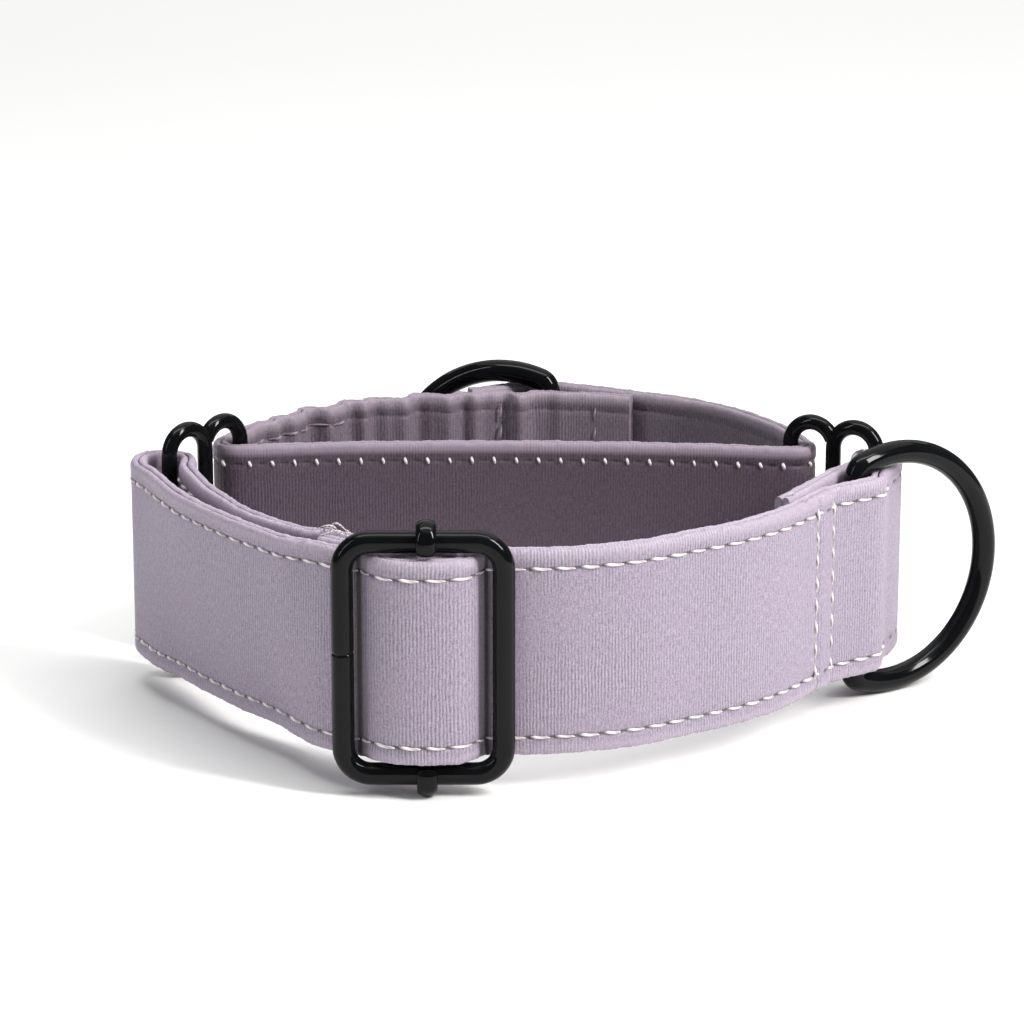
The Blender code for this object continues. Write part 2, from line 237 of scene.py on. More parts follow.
def noise(tree, vector, scale, detail=2.0, stretch=(1.0, 1.0, 1.0)):
    mapping = add(tree, "ShaderNodeMapping")
    mapping.inputs["Scale"].default_value = stretch
    tree.links.new(vector, mapping.inputs["Vector"])
    made = add(tree, "ShaderNodeTexNoise")
    made.inputs["Scale"].default_value = scale
    made.inputs["Detail"].default_value = detail
    tree.links.new(mapping.outputs[0], made.inputs["Vector"])
    return made.outputs["Fac"]


def mix_colour(tree, factor, a, b):
    made = add(tree, "ShaderNodeMix", data_type="RGBA")
    for index, value in ((0, factor), (6, a), (7, b)):
        if isinstance(value, bpy.types.NodeSocket):
            tree.links.new(value, made.inputs[index])
        else:
            made.inputs[index].default_value = value
    return made.outputs[2]


NOWHERE = -99.0  # a place along a band that no band reaches
# Painted highlight: how far in from either edge of a band its lighter edge colour reaches.
EDGE_HIGHLIGHT_REACH = 2.2
# Painted shade where the satin turns behind the slider's frame wire: how far along it reaches, and its
# near-black colour.
WIRE_GAP_SHADE_REACH = 1.6
WIRE_GAP_SHADE_COLOUR = (0.012, 0.009, 0.014, 1)
# Painted shade in the needle holes between stitches.
NEEDLE_HOLE_SHADE_COLOUR = (0.02, 0.014, 0.02, 1)


def cloth_group():
    """Ribs across the band, a soft nap, slow changes of shade, a painted highlight along the edges, painted
    shade at two given distances and painted shade in the needle holes, from a UV map in mm.
    """
    tree = bpy.data.node_groups.new("ribbed_satin", "ShaderNodeTree")
    sockets = tree.interface
    for name, kind, value in (("UV", "NodeSocketVector", None),
                              ("Light", "NodeSocketColor", (0.5, 0.4, 0.5, 1)),
                              ("Deep", "NodeSocketColor", (0.3, 0.25, 0.3, 1)),
                              ("Ribs", "NodeSocketFloat", 1.0), ("Holes", "NodeSocketFloat", 1.0),
                              ("Edge highlight", "NodeSocketFloat", 0.0),
                              ("Edge highlight colour", "NodeSocketColor", (0.5, 0.4, 0.5, 1)),
                              ("First wire gap shade", "NodeSocketFloat", NOWHERE),
                              ("Second wire gap shade", "NodeSocketFloat", NOWHERE)):
        made = sockets.new_socket(name, in_out="INPUT", socket_type=kind)
        if value is not None:
            made.default_value = value
    for name, kind in (("Colour", "NodeSocketColor"), ("Roughness", "NodeSocketFloat"),
                       ("Height", "NodeSocketFloat")):
        sockets.new_socket(name, in_out="OUTPUT", socket_type=kind)
    start, end = add(tree, "NodeGroupInput"), add(tree, "NodeGroupOutput")
    split = add(tree, "ShaderNodeSeparateXYZ")
    tree.links.new(start.outputs["UV"], split.inputs[0])
    along, across = split.outputs[0], split.outputs[1]

    waver = noise(tree, start.outputs["UV"], 1.0, 2.0, (0.35, 0.12, 1.0))
    wavering = math_node(tree, "ADD", along, math_node(tree, "MULTIPLY", waver, 0.8))
    phase = math_node(tree, "MULTIPLY", wavering, 2 * math.pi / RIB_PITCH)
    rib = math_node(tree, "MULTIPLY_ADD", math_node(tree, "SINE", phase), 0.5, 0.5)
    fibres = noise(tree, start.outputs["UV"], 1.0, 3.0, (4.6, 0.8, 1.0))
    nap = noise(tree, start.outputs["UV"], 1.0, 3.0, (2.6, 2.6, 1.0))
    patch = noise(tree, start.outputs["UV"], 1.0, 2.0, (0.05, 0.06, 1.0))
    clear = math_node(tree, "SUBTRACT", math_node(tree, "MULTIPLY", patch, 4.0), 1.45, clamp=True)
    strength = math_node(tree, "MULTIPLY", start.outputs["Ribs"], clear)
    ribbed = math_node(tree, "MULTIPLY", math_node(tree, "SUBTRACT", rib, 0.5), strength)
    grain = math_node(tree, "ADD", math_node(tree, "MULTIPLY", fibres, 0.55),
                      math_node(tree, "MULTIPLY", nap, 0.45))
    contrast = math_node(tree, "MULTIPLY_ADD", math_node(tree, "SUBTRACT", grain, 0.5), 2.7, 0.5)
    tone = math_node(tree, "ADD", math_node(tree, "MULTIPLY", ribbed, 0.55), contrast, clamp=True)
    colour = mix_colour(tree, tone, start.outputs["Deep"], start.outputs["Light"])
    warm = mix_colour(tree, patch, (1.0, 0.94, 1.0, 1), (0.93, 0.98, 1.0, 1))
    tinted = add(tree, "ShaderNodeMix", data_type="RGBA", blend_type="MULTIPLY")
    tinted.inputs[0].default_value = 1.0
    tree.links.new(colour, tinted.inputs[6])
    tree.links.new(warm, tinted.inputs[7])

    edge = math_node(tree, "MINIMUM", across, math_node(tree, "SUBTRACT", STRAP_WIDTH, across))
    # Painted highlight: within that reach of either edge, the colour turns towards the lighter edge colour by
    # the hem amount.
    hem = math_node(tree, "MULTIPLY", math_node(tree, "SUBTRACT", EDGE_HIGHLIGHT_REACH, edge, clamp=True),
                    start.outputs["Edge highlight"])
    painted_light = mix_colour(tree, hem, tinted.outputs[2], start.outputs["Edge highlight colour"])
    # Painted shade: at the two given distances, where the cloth turns behind the frame wire, the colour goes
    # near-black; the rubbed mask here is this painted shade.
    for name in ("First wire gap shade", "Second wire gap shade"):
        off = math_node(tree, "ABSOLUTE", math_node(tree, "SUBTRACT", along, start.outputs[name]))
        rubbed = math_node(tree, "SUBTRACT", WIRE_GAP_SHADE_REACH, off, clamp=True)
        painted_light = mix_colour(tree, math_node(tree, "MULTIPLY", rubbed, 0.9), painted_light, WIRE_GAP_SHADE_COLOUR)
    # Painted shade: the needle holes between the stitches of both rows are darkened towards a near-black
    # colour; the same mask also sinks the surface a little.
    near_row = None
    for v in (STITCH_MARGIN, STRAP_WIDTH - STITCH_MARGIN):
        off = math_node(tree, "ABSOLUTE", math_node(tree, "SUBTRACT", across, v))
        row = math_node(tree, "SUBTRACT", 1.0, math_node(tree, "MULTIPLY", off, 2.2), clamp=True)
        near_row = row if near_row is None else math_node(tree, "MAXIMUM", near_row, row)
    step = math_node(tree, "FRACT", math_node(tree, "MULTIPLY", along, 1 / STITCH_PITCH))
    off = math_node(tree, "ABSOLUTE", math_node(tree, "SUBTRACT", step, 0.5))
    gap = math_node(tree, "MULTIPLY", math_node(tree, "SUBTRACT", off, 0.27), 9.0, clamp=True)
    hole = math_node(tree, "MULTIPLY", math_node(tree, "MULTIPLY", gap, near_row), start.outputs["Holes"])
    dark = mix_colour(tree, math_node(tree, "MULTIPLY", hole, 0.85), painted_light, NEEDLE_HOLE_SHADE_COLOUR)
    tree.links.new(dark, end.inputs["Colour"])
    tree.links.new(math_node(tree, "MULTIPLY_ADD", grain, -0.25, 0.72), end.inputs["Roughness"])
    bump = math_node(tree, "ADD", math_node(tree, "MULTIPLY", ribbed, 0.5),
                     math_node(tree, "MULTIPLY", grain, 0.8))
    tree.links.new(math_node(tree, "SUBTRACT", bump, hole), end.inputs["Height"])
    return tree


def cloth(name, group, light, deep, ribs, holes, sheen, hem=0.25, painted_light=(0.5, 0.43, 0.5),
          wire_gap_shades=(NOWHERE, NOWHERE)):
    """A band's fabric: the weave group with its own shades, and a little sheen."""
    material = bpy.data.materials.new(name)
    tree = node_tree(material)
    shader, out = add(tree, "ShaderNodeBsdfPrincipled"), add(tree, "ShaderNodeOutputMaterial")
    weave = add(tree, "ShaderNodeGroup", node_tree=group)
    uv = add(tree, "ShaderNodeUVMap", uv_map="cloth")
    tree.links.new(uv.outputs[0], weave.inputs["UV"])
    weave.inputs["Light"].default_value = (*light, 1)
    weave.inputs["Deep"].default_value = (*deep, 1)
    weave.inputs["Ribs"].default_value = ribs
    weave.inputs["Holes"].default_value = holes
    # The hem amount and its colour paint a highlight along both edges of the band.
    weave.inputs["Edge highlight"].default_value = hem
    # The two given distances get painted shade.
    weave.inputs["First wire gap shade"].default_value, weave.inputs["Second wire gap shade"].default_value = wire_gap_shades
    weave.inputs["Edge highlight colour"].default_value = (*painted_light, 1)
    bump = add(tree, "ShaderNodeBump")
    bump.inputs["Strength"].default_value = 0.55
    bump.inputs["Distance"].default_value = 0.0002
    tree.links.new(weave.outputs["Height"], bump.inputs["Height"])
    tree.links.new(weave.outputs["Colour"], shader.inputs["Base Color"])
    tree.links.new(weave.outputs["Roughness"], shader.inputs["Roughness"])
    tree.links.new(bump.outputs[0], shader.inputs["Normal"])
    shader.inputs["Sheen Weight"].default_value = sheen
    shader.inputs["Sheen Roughness"].default_value = 0.45
    shader.inputs["Sheen Tint"].default_value = (0.9, 0.84, 0.95, 1)
    tree.links.new(shader.outputs[0], out.inputs[0])
    return material


def thread_material(name, valley, ridge):
    """Three-ply off-white thread: slanted ply lines along its own length, with painted shade in the valleys
    between the plies.
    """
    material = bpy.data.materials.new(name)
    tree = node_tree(material)
    shader, out = add(tree, "ShaderNodeBsdfPrincipled"), add(tree, "ShaderNodeOutputMaterial")
    uv = add(tree, "ShaderNodeUVMap", uv_map="cloth")
    split = add(tree, "ShaderNodeSeparateXYZ")
    tree.links.new(uv.outputs[0], split.inputs[0])
    slope = math_node(tree, "ADD", math_node(tree, "MULTIPLY", split.outputs[0], 9.0),
                      math_node(tree, "MULTIPLY", split.outputs[1], 2 * math.pi))
    ply = math_node(tree, "MULTIPLY_ADD", math_node(tree, "SINE", slope), 0.5, 0.5)
    # Painted shade: the valley colour darkens the grooves between the plies.
    tree.links.new(mix_colour(tree, ply, (*valley, 1), (*ridge, 1)), shader.inputs["Base Color"])
    bump = add(tree, "ShaderNodeBump")
    bump.inputs["Strength"].default_value = 0.5
    bump.inputs["Distance"].default_value = 0.0001
    tree.links.new(ply, bump.inputs["Height"])
    tree.links.new(bump.outputs[0], shader.inputs["Normal"])
    shader.inputs["Roughness"].default_value = 0.55
    shader.inputs["Sheen Weight"].default_value = 0.2
    tree.links.new(shader.outputs[0], out.inputs[0])
    return material


def black_enamel():
    """Glossy black enamel with faint orange peel and rubbed patches."""
    material = bpy.data.materials.new("black_enamel")
    tree = node_tree(material)
    shader, out = add(tree, "ShaderNodeBsdfPrincipled"), add(tree, "ShaderNodeOutputMaterial")
    place = add(tree, "ShaderNodeTexCoord").outputs["Object"]
    rubbed = noise(tree, place, 160.0, 3.0)
    peel = noise(tree, place, 900.0, 1.0)
    tree.links.new(mix_colour(tree, rubbed, (0.0015, 0.0016, 0.002, 1), (0.004, 0.0045, 0.005, 1)),
                   shader.inputs["Base Color"])
    tree.links.new(math_node(tree, "MULTIPLY_ADD", rubbed, 0.12, 0.04), shader.inputs["Roughness"])
    bump = add(tree, "ShaderNodeBump")
    bump.inputs["Strength"].default_value = 0.04
    bump.inputs["Distance"].default_value = 0.0001
    tree.links.new(peel, bump.inputs["Height"])
    tree.links.new(bump.outputs[0], shader.inputs["Normal"])
    shader.inputs["Specular IOR Level"].default_value = 0.15
    tree.links.new(shader.outputs[0], out.inputs[0])
    return material


# Shapes

def wrapped_grid(name, places, uv, closed, material):
    """A grid primitive whose vertices take the given places (along, around). Its last column is its first."""
    along, round_ = places.shape[0] - 1, places.shape[1] - 1
    bpy.ops.object.select_all(action="DESELECT")
    bpy.ops.mesh.primitive_grid_add(x_subdivisions=along, y_subdivisions=round_, size=1.0)
    obj = bpy.context.object
    obj.name = name
    mesh = obj.data
    mesh.name = name
    flat = np.zeros(len(mesh.vertices) * 3)
    mesh.vertices.foreach_get("co", flat)
    flat = flat.reshape(-1, 3)
    i = np.rint((flat[:, 0] + 0.5) * along).astype(int)
    j = np.rint((flat[:, 1] + 0.5) * round_).astype(int)
    mesh.vertices.foreach_set("co", places[i, j].ravel())
    corner = np.zeros(len(mesh.loops), int)
    mesh.loops.foreach_get("vertex_index", corner)
    layer = mesh.uv_layers[0] if mesh.uv_layers else mesh.uv_layers.new(name="cloth")
    layer.name = "cloth"
    layer.data.foreach_set("uv", uv[i[corner], j[corner]].ravel())
    bpy.ops.object.mode_set(mode="EDIT")
    bpy.ops.mesh.select_all(action="SELECT")
    bpy.ops.mesh.remove_doubles(threshold=1e-7)
    if not closed:
        bpy.ops.mesh.fill_holes(sides=0)
    bpy.ops.mesh.select_all(action="SELECT")
    bpy.ops.mesh.normals_make_consistent(inside=False)
    bpy.ops.object.mode_set(mode="OBJECT")
    bpy.ops.object.shade_smooth_by_angle(angle=math.radians(45))
    mesh.materials.clear()
    mesh.materials.append(material)
    return obj


def settle(obj, body, slot, *replaced):
    """A finished piece goes on its body and in place of its solids; the slot it is given is not used."""
    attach(obj, body)
    if replaced:
        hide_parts(*replaced)
    return obj


FACE_HEIGHTS = (1.0, 1.7, 2.4, 2.9, 3.2, 3.4, 3.6, 3.9, 4.4, 5.4, 7.5, 10.5, 14.0, 19.0)
HEM = ([(0.10, 0.75), (0.14, 0.30), (0.42, 0.06), (0.80, 0.0), (1.15, 0.14), (1.38, 0.5)]
       + [(HALF_STRAP, height) for height in FACE_HEIGHTS])


def band_profile():
    """One layer's outline as (offset, height above the low edge). Its face's edges fold in to the middle."""
    upper = [(n, STRAP_WIDTH - h) for n, h in reversed(HEM[:-1])]
    inner = [(0.10, STRAP_WIDTH * k / 4) for k in (3, 2, 1)]
    return np.array(HEM + upper + inner + HEM[:1])


def band(name, route, side, material, seed, rows=True, ripple=None, swell=None, spacing=0.55):
    """One folded layer of a band on edge. side is +1 for the left of the route and -1 for the right."""
    profile = band_profile()
    s = np.linspace(0, route.length, int(route.length / spacing) + 1)
    offset, height = profile[:, 0][None, :], profile[:, 1][None, :]
    edge = np.minimum(height, STRAP_WIDTH - height)
    outer = ramp(offset, 0.3, 1.3)
    stitched = np.abs((s / STITCH_PITCH) % 1.0 - 0.5)[:, None]
    dip = np.exp(-((edge - STITCH_MARGIN) / 0.5) ** 2) * (0.12 + 0.16 * ramp(stitched, 0.25, 0.5)) * rows
    hem = 0.10 * np.sin(np.clip(edge / STITCH_MARGIN, 0, 1) * math.pi)
    slow = wander(s, seed)[:, None]
    fray = wander(s, seed + 7, (1.3, 2.1, 5.0), (1.0, 0.8, 1.0))[:, None]
    n = offset + outer * (hem - dip + 0.05 * slow)
    if swell is not None:
        n = n + outer * swell(s)[:, None]
    rough_edge = ramp(edge, 1.2, 0.0) * (0.10 * fray + 0.08 * slow)
    z = STRAP_LOW + height + np.sign(height - STRAP_WIDTH / 2) * rough_edge
    n = n + 0.06 * fray * ramp(edge, 1.0, 0.0)
    if ripple is not None:
        push = ripple(s)[:, None] * (0.75 + 0.25 * np.cos((height / STRAP_WIDTH - 0.62) * math.pi))
        n = n + side * push
    places = route.place(s[:, None] + 0 * n, side * n, z)
    places[:, -1] = places[:, 0]
    across = np.concatenate([[0], np.cumsum(np.linalg.norm(np.diff(profile, axis=0), axis=1))])
    across = across - across[6] + HEM[6][1]
    uv = np.stack([s[:, None] + 0 * across[None, :], across[None, :] + 0 * s[:, None]], -1)
    return wrapped_grid(name, places, uv, False, material)


def tube(path, radius, sides, closed, square=2.0, across=None):
    """Vertex places and UVs of a round section carried along a path, both in millimetres in plan."""
    path = np.array(path, float)
    radius = np.broadcast_to(np.array(radius, float), len(path))
    if closed:
        tangent = np.roll(path, -1, 0) - np.roll(path, 1, 0)
    else:
        tangent = np.gradient(path, axis=0)
    tangent /= np.linalg.norm(tangent, axis=1, keepdims=True)
    if across is None:
        n = len(path)
        across = np.cross(path[n // 3] - path[0], path[2 * n // 3] - path[0])
    across = np.broadcast_to(across / np.linalg.norm(across), path.shape)
    side = np.cross(tangent, across)
    side /= np.linalg.norm(side, axis=1, keepdims=True)
    angle = np.linspace(0, 2 * math.pi, sides + 1)
    full = (np.abs(np.cos(angle)) ** square + np.abs(np.sin(angle)) ** square) ** (-1 / square)
    ring = (across[:, None] * (full * np.cos(angle))[None, :, None]
            + side[:, None] * (full * np.sin(angle))[None, :, None])
    places = path[:, None] + radius[:, None, None] * ring
    length = np.concatenate([[0], np.cumsum(np.linalg.norm(np.diff(path, axis=0), axis=1))])
    uv = np.stack(np.broadcast_arrays(length[:, None], (angle / (2 * math.pi))[None, :]), -1)
    places[:, -1] = places[:, 0]
    if closed:
        places = np.concatenate([places, places[:1]])
        uv = np.concatenate([uv, uv[-1:] + (1.0, 0.0)])
    return places, uv


def to_frame(places):
    return (places - np.array((*PLAN_CENTRE, 0.0))) * MM


def corner(centre, radius, start, end, count):
    return [polar(centre, radius, start + (end - start) * i / count) for i in range(count + 1)]


def upright(pivot, heading, path):
    angle = math.radians(heading)
    return [(pivot[0] + t * math.cos(angle), pivot[1] + t * math.sin(angle), z) for t, z in path]


def without_doubles(path):
    return [p for i, p in enumerate(path) if math.dist(p, path[i - 1]) > 1e-4]


def wire_piece(name, path, radius, closed, material, sides=28, **shape):
    places, uv = tube(path, radius, sides, closed, **shape)
    return wrapped_grid(name, to_frame(places), uv, closed, material)


def ring_path():
    """A D-ring's outline as (distance from the bar, height): straight bar, tight corners, round bow."""
    half, middle, bend = (RING_HEIGHT - RING_WIRE) / 2, RING_HEIGHT / 2, RING_BEND
    bow = RING_DEPTH - half
    lean = math.degrees(math.asin((bow - bend) / (half - bend)))
    rise = (half - bend) * math.cos(math.radians(lean))
    straight = [(0.0, middle + rise * (1 - k / 10)) for k in range(1, 20)]
    return (corner((bend, middle - rise), bend, 180, 270 - lean, 10)
            + corner((bow, middle), half, -90 - lean, 90 + lean, 88)[1:-1]
            + corner((bend, middle + rise), bend, 90 + lean, 180, 10) + straight)


def link_piece(name, pivot, heading, material):
    """Two round-ended loops of wire that share the middle leg."""
    lobe = LINK_PITCH / 2
    low, high = lobe + LINK_WIRE / 2, LINK_HEIGHT - lobe - LINK_WIRE / 2
    leg = [low + (high - low) * k / 16 for k in range(1, 16)]
    near = (corner((lobe, low), lobe, 180, 360, 24) + [(2 * lobe, z) for z in leg]
            + corner((lobe, high), lobe, 0, 180, 24) + [(0.0, z) for z in leg[::-1]])
    far = (corner((3 * lobe, low), lobe, 200, 360, 22) + [(4 * lobe, z) for z in leg]
           + corner((3 * lobe, high), lobe, 0, 160, 22))
    first = wire_piece(name, upright(pivot, heading, near), LINK_WIRE / 2, True, material, 24)
    thinner = LINK_WIRE / 2 * 0.995
    second = wire_piece(name + "_far", upright(pivot, heading, far), thinner, False, material, 24)
    union = first.modifiers.new("far_lobe", "BOOLEAN")
    union.operation = "UNION"
    union.solver = "EXACT"
    union.object = second
    bpy.ops.object.select_all(action="DESELECT")
    bpy.context.view_layer.objects.active = first
    first.select_set(True)
    bpy.ops.object.modifier_apply(modifier=union.name)
    bpy.data.objects.remove(second)
    bpy.ops.object.shade_smooth_by_angle(angle=math.radians(50))
    return first


def slider_path():
    """The slider frame's rounded rectangle, with closely spaced points so that its seam can be pinched."""
    reach, rise = SLIDER_PITCH / 2 - SLIDER_BEND, SLIDER_RISE - SLIDER_BEND
    path = []
    for right, up, start in ((1, 1, 0), (-1, 1, 90), (-1, -1, 180), (1, -1, 270)):
        centre = (SLIDER_X + right * reach, MIDDLE_Z + up * rise)
        path += corner(centre, SLIDER_BEND, start, start + 90, 16)
    dense = []
    for a, b in zip(path, path[1:] + path[:1]):
        steps = max(1, int(math.dist(a, b) / 0.25))
        dense += [(a[0] + (b[0] - a[0]) * k / steps, SLIDER_Y, a[1] + (b[1] - a[1]) * k / steps)
                  for k in range(steps)]
    return dense


def slider_radius(path):
    """The wire's radius, pinched at the butt seam half way up the left side bar."""
    p = np.array(path)
    left = p[:, 0] < SLIDER_X - SLIDER_PITCH / 2 + 0.5
    pinch = np.exp(-((p[:, 2] - (MIDDLE_Z + 1.2)) / 0.22) ** 2) * left
    return SLIDER_WIRE / 2 * (1 - 0.10 * pinch)


def bar_path():
    """The centre bar behind the frame, with a hook round the frame's wire at each end."""
    low, high = MIDDLE_Z - SLIDER_RISE, MIDDLE_Z + SLIDER_RISE
    lower = corner((SLIDER_Y, low), HOOK_RADIUS, -215, -10, 24)
    upper = corner((SLIDER_Y, high), HOOK_RADIUS, 10, 215, 24)
    middle = [(SLIDER_Y + HOOK_RADIUS, low + (high - low) * k / 12) for k in range(13)]
    return [(BAR_X, y, z) for y, z in lower + middle + upper]


def slider_wire(material):
    path = slider_path()
    return wire_piece("slider_wire", path, slider_radius(path), True, material, 36, square=2.15,
                      across=np.array((0.0, 1.0, 0.0)))


def hooked_bar(material):
    """The centre bar: a flat wire with rounded ends."""
    path = bar_path()
    from_middle = 2 * np.abs(np.linspace(0, 1, len(path)) - 0.5)
    radius = BAR_THICKNESS / 2 * np.sqrt(np.clip(1 - from_middle ** 60, 0.02, 1))
    places, uv = tube(path, radius, 24, False, across=np.array((1.0, 0.0, 0.0)))
    places[:, :, 0] = BAR_X + (places[:, :, 0] - BAR_X) * BAR_FLATNESS
    return wrapped_grid("hooked_bar", to_frame(places), uv, False, material)


def stitch_shape():
    """One stitch along X, -0.5 to 0.5 of its length: a plump thread whose ends dive into the cloth."""
    t = np.linspace(-1, 1, 9)
    path = np.stack([t * 0.5, 0.14 * t, 0.34 * np.cos(t * math.pi / 2) - 0.16], 1)
    places, uv = tube(path, 0.27 * (1 - 0.45 * np.abs(t) ** 3), 8, False, across=np.array((0.0, 1.0, 0.0)))
    return places, uv


def stitches(name, count, spot, length, material, seed):
    """A row of stitches in one mesh. spot(i, x, y, up) places the points of stitch i in the shared frame."""
    shape, uv = stitch_shape()
    model = wrapped_grid(name, shape, uv, False, material)
    base = np.array([v.co for v in model.data.vertices])
    faces = [tuple(p.vertices) for p in model.data.polygons]
    base_uv = np.zeros(len(model.data.loops) * 2)
    model.data.uv_layers[0].data.foreach_get("uv", base_uv)
    jitter = np.random.default_rng(seed)
    points, polygons = [], []
    for i in range(count):
        wide, tall, shift = jitter.uniform(0.9, 1.12), jitter.uniform(0.85, 1.1), jitter.uniform(-0.12, 0.12)
        points.append(spot(i, base[:, 0] * length * wide + shift, base[:, 1] * tall, base[:, 2] * tall))
        polygons += [tuple(v + i * len(base) for v in face) for face in faces]
    mesh = bpy.data.meshes.new(name)
    mesh.from_pydata(np.vstack(points).tolist(), [], polygons)
    mesh.uv_layers.new(name="cloth").data.foreach_set("uv", np.tile(base_uv, count))
    mesh.materials.append(material)
    mesh.shade_smooth()
    model.data = mesh
    return model


def edge_row(name, route, start, end, side, low, material, seed, ripple=None, tick=False):
    """Stitches along a band's low or high edge, between two distances along its route. A tick stands up."""
    first = math.ceil(start / STITCH_PITCH - 0.5)
    count = int((end - (first + 0.5) * STITCH_PITCH) / STITCH_PITCH) + 1
    height = STRAP_LOW + (STITCH_MARGIN if low else STRAP_WIDTH - STITCH_MARGIN)

    def spot(i, x, y, up):
        s = (first + i + 0.5) * STITCH_PITCH + (TICK_WIDTH * y if tick else x)
        push = ripple(s) if ripple is not None else 0.0
        z = height + (TICK_LENGTH * x if tick else y)
        return route.place(s, side * (HALF_STRAP - STITCH_SINK + up) + push, z)
    return stitches(name, count, spot, STITCH_LENGTH, material, seed)


def upright_row(name, route, at, side, lift, material, seed):
    """A row of stitches across a band at one distance along its route."""
    count = int((STRAP_WIDTH - 1.5) / STITCH_PITCH)

    def spot(i, x, y, up):
        z = STRAP_LOW + STRAP_WIDTH / 2 + (i - (count - 1) / 2) * STITCH_PITCH + x
        return route.place(at + y, side * (HALF_STRAP + lift + up), z)
    return stitches(name, count, spot, SEAM_STITCH_LENGTH, material, seed)


# The two bands

strap = Route(STRAP_ROUTE, 0.2)
loop = Route(LOOP_ROUTE, 0.2)
GATHER_DEPTH = 2.1


def loop_ripple(s):
    """The loop's back run lies in soft upright folds where it is gathered in front of the ring's bar."""
    x = np.interp(s, loop.s, loop.point[:, 0])
    gathered = ramp(s, loop.length - 95.0, loop.length - 72.0) * ramp(x, 12.0, 3.0)
    folds = wander(s, 37, (4.7, 8.3, 13.0), (0.5, 1.0, 0.9))
    return GATHER_DEPTH * gathered * np.sign(folds) * np.abs(folds) ** 0.8


fabric = cloth_group()
# The lilac satin gets painted shade at both edges of the slider's window, where it turns behind the frame
# wire.
satin = cloth("lilac_satin", fabric, (0.40, 0.342, 0.414), (0.167, 0.14, 0.178), 1.0, 1.0, 0.12,
              wire_gap_shades=(strap.at(-5.2, 1.0), strap.at(-26.0, 0.6)))
lining_cloth = cloth("lilac_lining", fabric, (0.44, 0.37, 0.45), (0.20, 0.165, 0.205), 0.8, 0.7, 0.12)
webbing_cloth = cloth("dark_webbing", fabric, (0.115, 0.085, 0.11), (0.035, 0.026, 0.034), 0.6, 0.0, 0.1)
# Painted shade: the control loop's satin and lining are much darker copies of the lilac cloth, standing in
# for the shade inside the collar. The loop satin's strong, lighter edge colour is a painted highlight along
# its edges.
loop_satin = cloth("loop_satin_painted_shade", fabric, (0.105, 0.073, 0.100), (0.038, 0.026, 0.036), 0.7, 0.8, 0.12,
                   hem=0.8, painted_light=(0.26, 0.21, 0.26))
loop_lining = cloth("loop_lining_painted_shade", fabric, (0.21, 0.168, 0.205), (0.078, 0.06, 0.076), 0.8, 0.0, 0.12)
thread = thread_material("off_white_thread", (0.40, 0.36, 0.37), (0.78, 0.74, 0.73))
# Painted shade: a darkened copy of the off-white thread, for the rows on the lining side of the control loop.
thread_painted_shade = thread_material("thread_painted_shade", (0.10, 0.08, 0.10), (0.27, 0.22, 0.26))
enamel = black_enamel()

SEAM_A, SEAM_B = strap.at(55.0, 36.2), strap.at(58.6, 41.5)


def seam_swell(s):
    """The folded end sewn in between the two upright seams stands proud, and each seam pulls the cloth in."""
    proud = ramp(s, SEAM_B - 0.2, SEAM_B + 1.6) * ramp(s, SEAM_A + 0.2, SEAM_A - 1.6)
    pulled = np.exp(-((s - SEAM_A) / 0.6) ** 2) + np.exp(-((s - SEAM_B) / 0.6) ** 2)
    return 0.55 * proud - 0.25 * pulled


settle(band("satin_face", strap, 1, satin, 3, swell=seam_swell), "strap", "satin_fabric", "strap_face")
settle(band("satin_back", strap, -1, lining_cloth, 5), "strap", "lining", "strap_lining")
settle(band("loop_satin_face", loop, 1, loop_satin, 11, ripple=loop_ripple), "control_loop", "satin_fabric",
       "control_loop_face")
settle(band("loop_satin_back", loop, -1, loop_lining, 13, ripple=loop_ripple), "control_loop", "lining",
       "control_loop_lining")


def core(name, route, material, ripple=None):
    """The flat webbing between a band's two layers."""
    s = np.linspace(1.5, route.length - 1.5, int(route.length / 0.6))
    outline = np.array([(-0.09, 1.6), (0.09, 1.6), (0.09, 13.0), (0.09, 25.0), (0.09, STRAP_WIDTH - 1.6),
                        (-0.09, STRAP_WIDTH - 1.6), (-0.09, 25.0), (-0.09, 13.0), (-0.09, 1.6)])
    n = outline[:, 0][None, :] + 0 * s[:, None]
    if ripple is not None:
        n = n + ripple(s)[:, None]
    places = route.place(s[:, None] + 0 * n, n, STRAP_LOW + outline[:, 1][None, :] + 0 * n)
    places[:, -1] = places[:, 0]
    uv = np.stack(np.broadcast_arrays(s[:, None], outline[:, 1][None, :]), -1)
    return wrapped_grid(name, places, uv, False, material)


settle(core("webbing_core", strap, webbing_cloth), "strap", "webbing", "strap_webbing")
settle(core("loop_webbing_core", loop, webbing_cloth, loop_ripple), "control_loop", "webbing",
       "control_loop_webbing")

